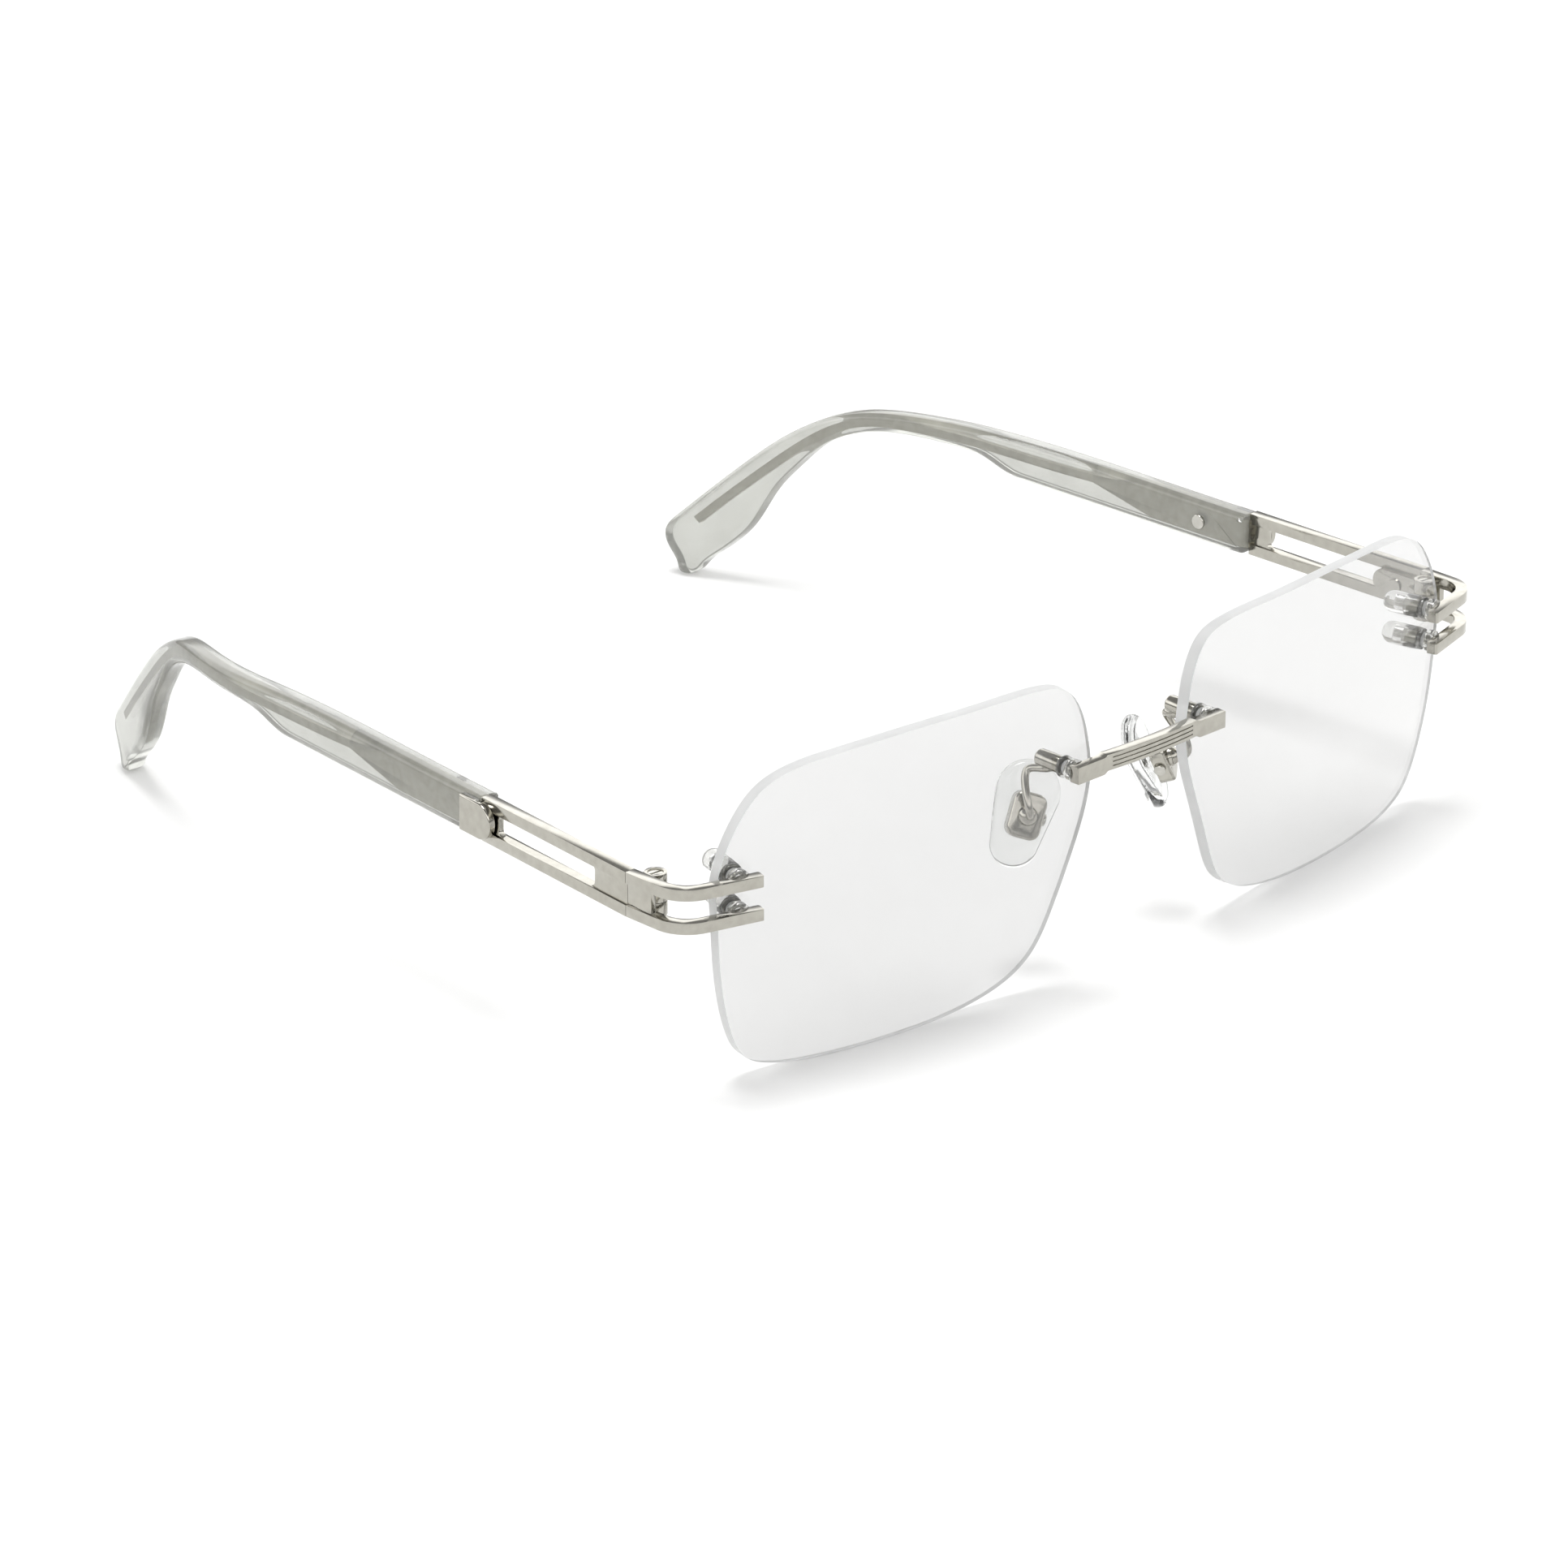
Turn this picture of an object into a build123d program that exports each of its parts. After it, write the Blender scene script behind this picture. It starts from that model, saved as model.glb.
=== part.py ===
from build123d import *
from math import cos, radians, sin, sqrt
import os

# Rimless eyeglasses, in millimetres, open and standing on a flat surface.
# +X is the wearer's left, +Y runs from the lenses back to the temple tips, +Z is up.
# Pieces are modelled on the left side with y = 0 at the lens, mirrored to the right, and
# moved at the end so that the origin is the bottom centre of the whole pair.

# ---------------------------------------------------------------- driving dimensions
# Lenses
lens_width = 56.0
lens_height = 40.6
lens_gap = 17.4            # between the two lenses, at their nearest
lens_thickness = 1.6
lens_radius = 180.0        # front surface, a shallow sphere
lens_wrap = 8.0            # degrees each lens turns back towards its temple
lens_tilt = 3.0            # degrees the lower edge leans towards the cheeks

# Bars of the endpiece, the two rails of the temple and the web between them
bar_height = 1.45
bar_gap = 2.85
bar_depth = 1.5
bar_bend_radius = 4.2
bar_overhang = 2.5         # bar past the post, on the nasal side
bar_end_radius = 0.3
web_thickness = 0.8
endpiece_web_length = 4.0
temple_angle = 4.0         # degrees the temples lean inwards from the hinge
temple_rise = 1.5          # degrees they rise from the hinge
rail_out = 5.45            # middle of the rails beyond the edge of the lens
seam_behind_post = 9.27    # joint between endpiece and temple, behind the lens fixing
seam_gap = 0.06

# Lens fixings: a stud through the lens, a clear washer and bush, then a nut
post_radius = 0.6
post_sink = 0.6            # share of a bar's or the bridge's depth that a stud enters
thread_clearance = 0.02
bush_wall = 0.3
bush_clearance = 0.03
flange_radius = 1.4
flange_thickness = 0.5
washer_thickness = 0.95
face_clearance = 0.03      # flat washer on a curved lens
temporal_inset = 2.6       # post to the widest point of the lens
bar_rise = 4.8             # middle of the two bars above the lens centre
nut_radius = 1.05
nut_length = 2.0
cap_radius = 1.45
cap_length = 5.0
cap_nose = 0.93            # how round its nose is, a share of its radius
cap_clearance = 0.04
post_reach = 1.3           # stud beyond its nut

# Bridge and the nose pads' arms
nasal_inset = 3.45
bridge_rise = 8.5
bridge_depth = 1.4
bridge_height = 2.1
bridge_end_height = 2.2
bridge_overhang = 1.1
bridge_end_length = 5.2
bridge_step = 0.3          # the middle stands this much higher than the ends
bridge_bow = 0.4           # the middle stands this much further forward
groove_width = 0.16
groove_depth = 0.15
groove_pitch = 0.56
groove_count = 3
groove_reach = 7.1
barrel_nut_radius = 1.1
barrel_nut_length = 4.0
nut_bore = 0.6             # share of the barrel nut's length that is bored
arm_radius = 0.5
arm_bow = 2.2

# Nose pads
pad_length = 13.6
pad_width = 8.1             # at its rounded lower end
pad_top_radius = 3.0
pad_thickness = 2.0
pad_splay = 26.0           # degrees the pads spread apart downwards
pad_turn = 50.0            # degrees the pads turn from fore-and-aft
pad_lean = 0.06            # how far their lower ends lean forward, a share of their length
pad_side = 11.8
pad_back = 6.8
pad_rise = 0.1             # pad centre above the lens centre
box_width = 4.2
box_length = 5.8
box_depth = 1.9
box_wall = 0.75
box_floor = 0.55
pad_gap = 0.5              # box to pad, so that the pad can rock
pad_boss_length = 1.7
pad_boss_clearance = 0.12
pad_pin_radius = 0.4
pad_pin_clearance = 0.04
pad_pin_head_radius = 0.75
pad_pin_head_height = 0.4
ball_radius = 1.25

# Hinge
hinge_barrel_radius = 1.4
hinge_barrel_gap = 0.1     # barrel to the rails' inner faces
hinge_forward = 2.0        # axis ahead of the seam
knuckle_height = 1.75
knuckle_gap = 0.05
knuckle_link = 1.4         # root of the outer knuckles, in barrel radii
hinge_pin_radius = 0.6
hinge_pin_clearance = 0.03
hinge_head_radius = 0.95
hinge_head_height = 0.5
hinge_head_recess = 0.12
hinge_slot_width = 0.3
hinge_slot_depth = 0.25
leaf_thickness = 0.8
leaf_length = 6.2
leaf_height = 3.4

# Temple: metal front, then the clear sleeve over its core
front_length = 27.6
slot_start = 6.2
slot_end = 24.8
slot_corner = 0.8
sleeve_thickness = 3.3
sleeve_height = 5.6
sleeve_proud = 0.5         # sleeve's outer face beyond the rails' outer face
curve_start = 73.8         # the temple curves inwards from here, seen from above
curve_radius = 60.0
curve_angle = 17.0         # degrees it turns before it runs straight again
step_start = 66.7          # underside of the sleeve steps up here
step_length = 8.0
bend_start = 84.9          # the temple bends down from here to its tip
drop_run = 36.5
core_thickness = 1.1
core_plate_height = 3.9
core_plate_length = 16.4
core_taper_length = 10.0
core_wire_height = 1.1
core_clearance = 0.03
ferrule_length = 6.0
ferrule_ahead = 2.6        # of it, ahead of the sleeve
ferrule_height = 4.7
ferrule_proud = 0.45       # beyond the sleeve's outer face
ferrule_edge = 0.25
rivet_radius = 0.6
rivet_head_radius = 1.0
rivet_head_height = 0.3
rivet_back = 7.6           # behind the front of the sleeve

# ---------------------------------------------------------------- worked out from them
wrap = radians(lens_wrap)
tilt = radians(lens_tilt)
lens_side = lens_gap / 2 + lens_width / 2 * cos(wrap)
rim_sag = (lens_height / 2) ** 2 / (2 * lens_radius)
lens_up = lens_height / 2 * cos(tilt) - rim_sag * sin(tilt)

lens_plane = Plane(
    origin=(lens_side, 0, lens_up),
    x_dir=(cos(wrap), sin(wrap), 0),
    z_dir=(sin(wrap) * cos(tilt), -cos(wrap) * cos(tilt), -sin(tilt)),
)


def lens_fixing(outwards, upwards):
    """Plane on the lens front at a fixing: z runs back through the lens, y is up."""
    depth = sqrt(lens_radius**2 - outwards**2 - upwards**2)
    on_front = lens_plane.from_local_coords((outwards, upwards, depth - lens_radius))
    centre = lens_plane.from_local_coords((0, 0, -lens_radius))
    back = (centre - on_front).normalized()
    sideways = back.cross(Vector(0, 0, 1)).normalized()
    return Plane(origin=on_front, x_dir=-sideways, z_dir=back)


temporal = lens_fixing(lens_width / 2 - temporal_inset, bar_rise)
nasal = lens_fixing(-lens_width / 2 + nasal_inset, bridge_rise)

bar_pitch = bar_height + bar_gap
rails_height = 2 * bar_height + bar_gap
rails_up = temporal.origin.Z
rails_x = lens_side + lens_width / 2 + rail_out
seam_back = temporal.origin.Y + seam_behind_post
hole_radius = post_radius + thread_clearance + bush_wall + bush_clearance

# The temple's side view: x runs back along the rails, y up, and z outwards.
lean = radians(temple_angle)
rise = radians(temple_rise)
temple_plane = Plane(
    origin=(rails_x, seam_back, rails_up),
    x_dir=(-sin(lean) * cos(rise), cos(lean) * cos(rise), sin(rise)),
    z_dir=(cos(lean), sin(lean), 0),
)
recess = (bar_depth - web_thickness) / 2
hinge_x = rails_x - bar_depth / 2 - hinge_barrel_gap - hinge_barrel_radius
hinge_y = seam_back - hinge_forward


# ---------------------------------------------------------------- lens
# The outline, as shares of half the width and half the height, from the temporal side over
# the top: a wide rounded rectangle, narrower below, with a long slant beside the nose.
lens_outline = [
    (1.0, 0.18), (0.992, 0.37), (0.947, 0.55), (0.88, 0.71), (0.79, 0.845),
    (0.66, 0.93), (0.4, 0.978), (0.0, 1.0), (-0.42, 1.0), (-0.7, 0.987),
    (-0.86, 0.92), (-0.945, 0.755), (-0.984, 0.56), (-1.0, 0.37), (-0.98, 0.17),
    (-0.893, -0.17), (-0.807, -0.46), (-0.76, -0.605), (-0.697, -0.74),
    (-0.6, -0.845), (-0.4, -0.94), (0.0, -0.995), (0.42, -0.995), (0.69, -0.955),
    (0.825, -0.87), (0.895, -0.71), (0.936, -0.53), (0.98, -0.17),
]
half_width = lens_width / 2
half_height = lens_height / 2

with BuildPart() as lens:
    with BuildSketch(lens_plane):
        with BuildLine():
            Spline([(half_width * u, half_height * v) for u, v in lens_outline], periodic=True)
        make_face()
    extrude(amount=lens_width / 2, both=True)
    with Locations(lens_plane.offset(-lens_radius)):
        Sphere(lens_radius, rotation=(90, 0, 0), mode=Mode.INTERSECT)
        Sphere(lens_radius - lens_thickness, rotation=(90, 0, 0), mode=Mode.SUBTRACT)
    with BuildSketch(temporal):
        with GridLocations(0, bar_pitch, 1, 2):
            Circle(hole_radius)
    extrude(amount=3 * lens_thickness, both=True, mode=Mode.SUBTRACT)
    with BuildSketch(nasal):
        Circle(hole_radius)
    extrude(amount=3 * lens_thickness, both=True, mode=Mode.SUBTRACT)

# ---------------------------------------------------------------- endpiece and its posts
bar_front = temporal.offset(-washer_thickness - bar_depth / 2)
along_bar = Vector(bar_front.x_dir.X, bar_front.x_dir.Y, 0).normalized()
if along_bar.X < 0:
    along_bar = -along_bar
bar_middle = Vector(bar_front.origin.X, bar_front.origin.Y, 0)
bar_end = bar_middle - along_bar * bar_overhang
bar_corner = bar_middle + along_bar * ((rails_x - bar_middle.X) / along_bar.X)
bar_levels = [rails_up - bar_pitch / 2 - bar_height / 2, rails_up + bar_pitch / 2 - bar_height / 2]
knuckle_levels = [knuckle_height / 2 + knuckle_gap, -knuckle_height / 2 - knuckle_gap - knuckle_height]
barrel_bottom = rails_up - 1.5 * knuckle_height - knuckle_gap
barrel_top = rails_up + 1.5 * knuckle_height + knuckle_gap

with BuildPart() as endpiece:
    for level in bar_levels:
        with BuildSketch(Plane.XY.offset(level)):
            with BuildLine():
                FilletPolyline(
                    (rails_x, seam_back), (bar_corner.X, bar_corner.Y), (bar_end.X, bar_end.Y),
                    radius=bar_bend_radius,
                )
            trace(line_width=bar_depth)
        extrude(amount=bar_height)
    fillet(endpiece.edges().filter_by(Axis.Z).sort_by(Axis.X)[:4], bar_end_radius)
    web_centre = (rails_x, seam_back - endpiece_web_length / 2, rails_up)
    with Locations(web_centre):
        Box(web_thickness, endpiece_web_length, rails_height)
    for level in knuckle_levels:
        with BuildSketch(Plane.XY.offset(rails_up + level)):
            with Locations((hinge_x, hinge_y)):
                Circle(hinge_barrel_radius)
            with Locations(((hinge_x + rails_x) / 2, hinge_y)):
                Rectangle(rails_x - hinge_x, knuckle_link * hinge_barrel_radius)
        extrude(amount=knuckle_height)
    with Locations((hinge_x, hinge_y, rails_up)):
        Cylinder(hinge_pin_radius, 2 * rails_height, mode=Mode.SUBTRACT)
    with Locations((hinge_x, hinge_y, barrel_top)):
        Cylinder(
            hinge_head_radius + hinge_pin_clearance,
            2 * (hinge_head_height + hinge_head_recess),
            mode=Mode.SUBTRACT,
        )

nut_start = lens_thickness + face_clearance + flange_thickness
post_end = nut_start + nut_length + post_reach
post_root = -washer_thickness - bar_depth * post_sink

with BuildPart() as temporal_posts:
    with BuildSketch(temporal.offset(post_root)):
        with GridLocations(0, bar_pitch, 1, 2):
            Circle(post_radius)
    extrude(amount=post_end - post_root)

with BuildPart() as endpiece_drilled:
    add(endpiece.part)
    add(temporal_posts.part, mode=Mode.SUBTRACT)

# ---------------------------------------------------------------- temporal fixings
with BuildPart() as temporal_washers:
    with BuildSketch(temporal.offset(-washer_thickness)):
        with GridLocations(0, bar_pitch, 1, 2):
            Circle(flange_radius)
            Circle(post_radius + thread_clearance, mode=Mode.SUBTRACT)
    extrude(amount=washer_thickness - face_clearance)
    add(endpiece.part, mode=Mode.SUBTRACT)

with BuildPart() as temporal_bushes:
    with BuildSketch(temporal):
        with GridLocations(0, bar_pitch, 1, 2):
            Circle(hole_radius - bush_clearance)
    extrude(amount=nut_start)
    with BuildSketch(temporal.offset(lens_thickness + face_clearance)):
        with GridLocations(0, bar_pitch, 1, 2):
            Circle(flange_radius)
    extrude(amount=flange_thickness)
    with BuildSketch(temporal):
        with GridLocations(0, bar_pitch, 1, 2):
            Circle(post_radius + thread_clearance)
    extrude(amount=nut_start, mode=Mode.SUBTRACT)

with BuildPart() as temporal_nuts:
    with BuildSketch(temporal.offset(nut_start)):
        with GridLocations(0, bar_pitch, 1, 2):
            Circle(nut_radius)
            Circle(post_radius + thread_clearance, mode=Mode.SUBTRACT)
    extrude(amount=nut_length)

# A bullet-shaped cap: hollow over the nut and the end of the stud, solid at its nose.
with BuildPart() as temporal_caps:
    with BuildSketch(temporal.offset(nut_start)):
        with GridLocations(0, bar_pitch, 1, 2):
            Circle(cap_radius)
    extrude(amount=cap_length)
    fillet(
        temporal_caps.edges().filter_by(GeomType.CIRCLE).sort_by(
            lambda edge: (edge.arc_center - temporal.origin).dot(temporal.z_dir)
        )[-2:],
        cap_radius * cap_nose,
    )
    with BuildSketch(temporal.offset(nut_start)):
        with GridLocations(0, bar_pitch, 1, 2):
            Circle(nut_radius + cap_clearance)
    extrude(amount=nut_length + cap_clearance, mode=Mode.SUBTRACT)
    with BuildSketch(temporal.offset(nut_start)):
        with GridLocations(0, bar_pitch, 1, 2):
            Circle(post_radius + cap_clearance)
    extrude(amount=nut_length + post_reach + cap_clearance, mode=Mode.SUBTRACT)

# ---------------------------------------------------------------- nasal fixing
nasal_post_root = -washer_thickness - bridge_depth * post_sink

with BuildPart() as nasal_post:
    with BuildSketch(nasal.offset(nasal_post_root)):
        Circle(post_radius)
    extrude(amount=nut_start + barrel_nut_length * nut_bore - nasal_post_root)

with BuildPart() as nasal_bush:
    with BuildSketch(nasal):
        Circle(hole_radius - bush_clearance)
    extrude(amount=nut_start)
    with BuildSketch(nasal.offset(lens_thickness + face_clearance)):
        Circle(flange_radius)
    extrude(amount=flange_thickness)
    with BuildSketch(nasal):
        Circle(post_radius + thread_clearance)
    extrude(amount=nut_start, mode=Mode.SUBTRACT)

with BuildPart() as barrel_nut:
    with BuildSketch(nasal.offset(nut_start)):
        Circle(barrel_nut_radius)
    extrude(amount=barrel_nut_length)
    fillet(
        barrel_nut.edges().filter_by(GeomType.CIRCLE).sort_by(
            lambda edge: (edge.arc_center - nasal.origin).dot(nasal.z_dir)
        )[-1:],
        barrel_nut_radius * 0.3,
    )
    with BuildSketch(nasal.offset(nut_start)):
        Circle(post_radius + thread_clearance)
    extrude(amount=barrel_nut_length * nut_bore + thread_clearance, mode=Mode.SUBTRACT)

# ---------------------------------------------------------------- bridge
bridge_line = nasal.offset(-washer_thickness - bridge_depth / 2).origin
bridge_reach = bridge_line.X + bridge_overhang
bridge_knee = bridge_reach - bridge_end_length
bridge_middle_up = bridge_line.Z + bridge_step


def bridge_band(depth):
    """The bridge seen from above: straight ends and a slight forward bow between them."""
    with BuildPart() as band:
        with BuildSketch():
            with BuildLine():
                right_end = Line((-bridge_reach, bridge_line.Y), (-bridge_knee, bridge_line.Y))
                left_end = Line((bridge_knee, bridge_line.Y), (bridge_reach, bridge_line.Y))
                ThreePointArc(right_end @ 1, (0, bridge_line.Y - bridge_bow), left_end @ 0)
            trace(line_width=depth)
        extrude(amount=lens_height)
    return band.part


with BuildPart() as bridge:
    with BuildSketch(Plane.XZ.offset(-bridge_line.Y - 2 * bridge_depth)):
        with BuildLine():
            Polyline(
                (0, bridge_middle_up + bridge_height / 2),
                (bridge_knee, bridge_middle_up + bridge_height / 2),
                (bridge_knee + 2 * bridge_step, bridge_line.Z + bridge_end_height / 2),
                (bridge_reach, bridge_line.Z + bridge_end_height / 2),
                (bridge_reach, bridge_line.Z - bridge_end_height / 2),
                (bridge_knee + 2 * bridge_step, bridge_line.Z - bridge_end_height / 2),
                (bridge_knee, bridge_middle_up - bridge_height / 2),
                (0, bridge_middle_up - bridge_height / 2),
                close=True,
            )
        make_face()
        mirror(about=Plane.YZ)
    extrude(amount=4 * bridge_depth)
    add(bridge_band(bridge_depth), mode=Mode.INTERSECT)

with BuildPart() as bridge_grooves:
    with BuildSketch(Plane.XZ.offset(-bridge_line.Y)):
        with Locations((0, bridge_middle_up)):
            with GridLocations(0, groove_pitch, 1, groove_count):
                Rectangle(2 * groove_reach, groove_width)
    extrude(amount=2 * bridge_depth)
    add(bridge_band(bridge_depth - 2 * groove_depth), mode=Mode.SUBTRACT)

with BuildPart() as bridge_finished:
    add(bridge.part)
    add(bridge_grooves.part, mode=Mode.SUBTRACT)
    add(nasal_post.part, mode=Mode.SUBTRACT)
    add(mirror(nasal_post.part, about=Plane.YZ, mode=Mode.PRIVATE), mode=Mode.SUBTRACT)

with BuildPart() as nasal_washer:
    with BuildSketch(nasal.offset(-washer_thickness)):
        Circle(flange_radius)
        Circle(post_radius + thread_clearance, mode=Mode.SUBTRACT)
    extrude(amount=washer_thickness - face_clearance)
    add(bridge.part, mode=Mode.SUBTRACT)

# ---------------------------------------------------------------- nose pad and its box
splay = radians(pad_splay)
turn = radians(pad_turn)
pad_down = Vector(sin(splay), -pad_lean, -cos(splay)).normalized()
pad_out = Vector(cos(turn), -sin(turn), 0)
pad_out = (pad_out - pad_down * pad_out.dot(pad_down)).normalized()
pad_centre = Vector(pad_side, pad_back, lens_up + pad_rise)
pad_plane = Plane(origin=pad_centre, x_dir=pad_down.cross(pad_out), z_dir=pad_out)
box_plane = pad_plane.offset(pad_gap)
boss_height = pad_gap + box_depth - box_floor - pad_boss_clearance
boss_width = box_width - 2 * box_wall - 2 * pad_boss_clearance
pin_up = pad_gap + (box_depth - box_floor) / 2

with BuildPart() as pad_box:
    with BuildSketch(box_plane):
        RectangleRounded(box_width, box_length, box_width * 0.3)
    extrude(amount=box_depth)
    box_back = pad_box.faces().sort_by(lambda face: face.center().dot(pad_out))[-1]
    fillet(box_back.edges(), box_wall * 0.5)
    with BuildSketch(box_plane):
        Rectangle(box_width - 2 * box_wall, box_length - 2 * box_wall)
    extrude(amount=box_depth - box_floor, mode=Mode.SUBTRACT)
    with Locations(pad_plane.offset(pin_up)):
        Cylinder(pad_pin_radius, 2 * box_width, rotation=(0, 90, 0), mode=Mode.SUBTRACT)
    with Locations(box_plane.offset(box_depth)):
        Sphere(ball_radius)
    with BuildSketch(box_plane):
        Rectangle(box_width - 2 * box_wall, box_length - 2 * box_wall)
    extrude(amount=box_depth - box_floor, mode=Mode.SUBTRACT)

with BuildPart() as pad_screw:
    with Locations(pad_plane.offset(pin_up)):
        Cylinder(pad_pin_radius, box_width, rotation=(0, 90, 0))
    with Locations(pad_plane.offset(pin_up) * Pos(box_width / 2 + pad_pin_head_height / 2, 0, 0)):
        Cylinder(pad_pin_head_radius, pad_pin_head_height, rotation=(0, 90, 0))

with BuildPart() as nose_pad:
    with BuildSketch(pad_plane.offset(-pad_thickness)):
        with Locations((0, pad_length / 2 - pad_top_radius)):
            Circle(pad_top_radius)
        with Locations((0, pad_width / 2 - pad_length / 2)):
            Circle(pad_width / 2)
        make_hull()
    extrude(amount=pad_thickness)
    fillet(nose_pad.edges(), pad_thickness * 0.45)
    with BuildSketch(pad_plane.offset(-pad_thickness / 2)):
        Rectangle(boss_width, pad_boss_length)
    extrude(amount=boss_height + pad_thickness / 2)
    with Locations(pad_plane.offset(pin_up)):
        Cylinder(
            pad_pin_radius + pad_pin_clearance, 2 * box_width, rotation=(0, 90, 0), mode=Mode.SUBTRACT
        )

# ---------------------------------------------------------------- pad arm
arm_start = nasal.offset(nut_start + barrel_nut_length * 0.5).origin
arm_start = arm_start - Vector(0, 0, (barrel_nut_radius + post_radius) / 2)
arm_end = box_plane.offset(box_depth + ball_radius * 0.6).origin
arm_middle = (arm_start + arm_end) * 0.5 + Vector(0, arm_bow, arm_bow)

with BuildPart() as pad_arm:
    with BuildLine() as arm_line:
        Spline([arm_start, arm_middle, arm_end], tangents=[(0, 1, -0.6), -pad_out])
    with BuildSketch(Plane(origin=arm_line.line @ 0, z_dir=arm_line.line % 0)):
        Circle(arm_radius)
    sweep()
    add(pad_box.part, mode=Mode.SUBTRACT)
    with BuildSketch(nasal.offset(nut_start)):
        Circle(barrel_nut_radius)
    extrude(amount=barrel_nut_length, mode=Mode.SUBTRACT)

# ---------------------------------------------------------------- hinge
with BuildPart() as hinge_screw:
    with Locations((hinge_x, hinge_y, (barrel_bottom + barrel_top - hinge_head_recess) / 2)):
        Cylinder(hinge_pin_radius, barrel_top - hinge_head_recess - barrel_bottom)
    head_middle = barrel_top - hinge_head_recess - hinge_head_height / 2
    with Locations((hinge_x, hinge_y, head_middle)):
        Cylinder(hinge_head_radius, hinge_head_height)
    with Locations((hinge_x, hinge_y, barrel_top - hinge_head_recess)):
        Box(3 * hinge_head_radius, hinge_slot_width, 2 * hinge_slot_depth, mode=Mode.SUBTRACT)

leaf_inner = -bar_depth / 2 - leaf_thickness
with BuildPart() as hinge_leaf:
    with BuildSketch(temple_plane.offset(leaf_inner)):
        with Locations((leaf_length / 2, 0)):
            SlotOverall(leaf_length + leaf_height / 2, leaf_height)
        with Locations((-leaf_length, 0)):
            Rectangle(2 * leaf_length + 2 * seam_gap, 2 * leaf_height, mode=Mode.SUBTRACT)
    extrude(amount=leaf_thickness)
    with BuildSketch(temple_plane.offset(leaf_inner)):
        with Locations((leaf_length * 0.55, 0)):
            Circle(leaf_height * 0.28)
    extrude(amount=-leaf_thickness * 0.5)
    with BuildSketch(Plane.XY.offset(rails_up - knuckle_height / 2)):
        with Locations((hinge_x, hinge_y)):
            Circle(hinge_barrel_radius)
        with BuildLine():
            Polyline(
                (hinge_x - hinge_barrel_radius * 0.7, hinge_y),
                (hinge_x + hinge_barrel_radius, hinge_y),
                (hinge_x + hinge_barrel_radius, seam_back + seam_gap + leaf_thickness),
                (hinge_x, seam_back + seam_gap + leaf_thickness),
                close=True,
            )
        make_face()
    extrude(amount=knuckle_height)
    with Locations((hinge_x, hinge_y, rails_up)):
        Cylinder(hinge_pin_radius + hinge_pin_clearance, 2 * rails_height, mode=Mode.SUBTRACT)

# ---------------------------------------------------------------- temple front
with BuildPart() as temple_front:
    with BuildSketch(temple_plane):
        Rectangle(2 * front_length, rails_height)
    extrude(amount=bar_depth / 2, both=True)
    for face_offset in (bar_depth / 2, -bar_depth / 2 + recess):
        with BuildSketch(temple_plane.offset(face_offset)):
            Rectangle(3 * front_length, bar_gap)
        extrude(amount=-recess, mode=Mode.SUBTRACT)
    with BuildSketch(temple_plane):
        with Locations(((slot_start + slot_end) / 2, 0)):
            RectangleRounded(slot_end - slot_start, bar_gap, slot_corner)
    extrude(amount=bar_depth, both=True, mode=Mode.SUBTRACT)
    with Locations((rails_x, seam_back + seam_gap - front_length, rails_up)):
        Box(front_length, 2 * front_length, 2 * front_length, mode=Mode.SUBTRACT)

# ---------------------------------------------------------------- temple sleeve and core
outer_face = bar_depth / 2 + sleeve_proud
sleeve_middle = outer_face - sleeve_thickness / 2
top_up = rails_up + sleeve_height / 2


def temple_band(thickness, middle=0.0):
    """The temple seen from above: straight, then a curve inwards, then straight again."""
    start = temple_plane.from_local_coords((0, 0, sleeve_middle + middle))
    bend = temple_plane.from_local_coords((curve_start, 0, sleeve_middle + middle))
    with BuildPart() as band:
        with BuildSketch():
            with BuildLine():
                straight = Line((start.X, start.Y), (bend.X, bend.Y))
                curve = JernArc(straight @ 1, straight % 1, curve_radius, curve_angle)
                Line(curve @ 1, curve @ 1 + (curve % 1) * 2 * drop_run)
            trace(line_width=thickness)
        extrude(amount=2 * lens_height)
    return band.part


def level(back, up):
    """Point of the side view, from its level distances behind the joint and above it."""
    return (back * cos(rise) + up * sin(rise), up * cos(rise) - back * sin(rise))


def raised(back, share):
    """Point of the side view: above the joint by a share of the sleeve's height."""
    return level(back, share * sleeve_height)


def drop(along, height):
    """Point on the bent part: a share of its run, and of the height above the floor."""
    return level(bend_start + along * drop_run, height * top_up - rails_up)


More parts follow.
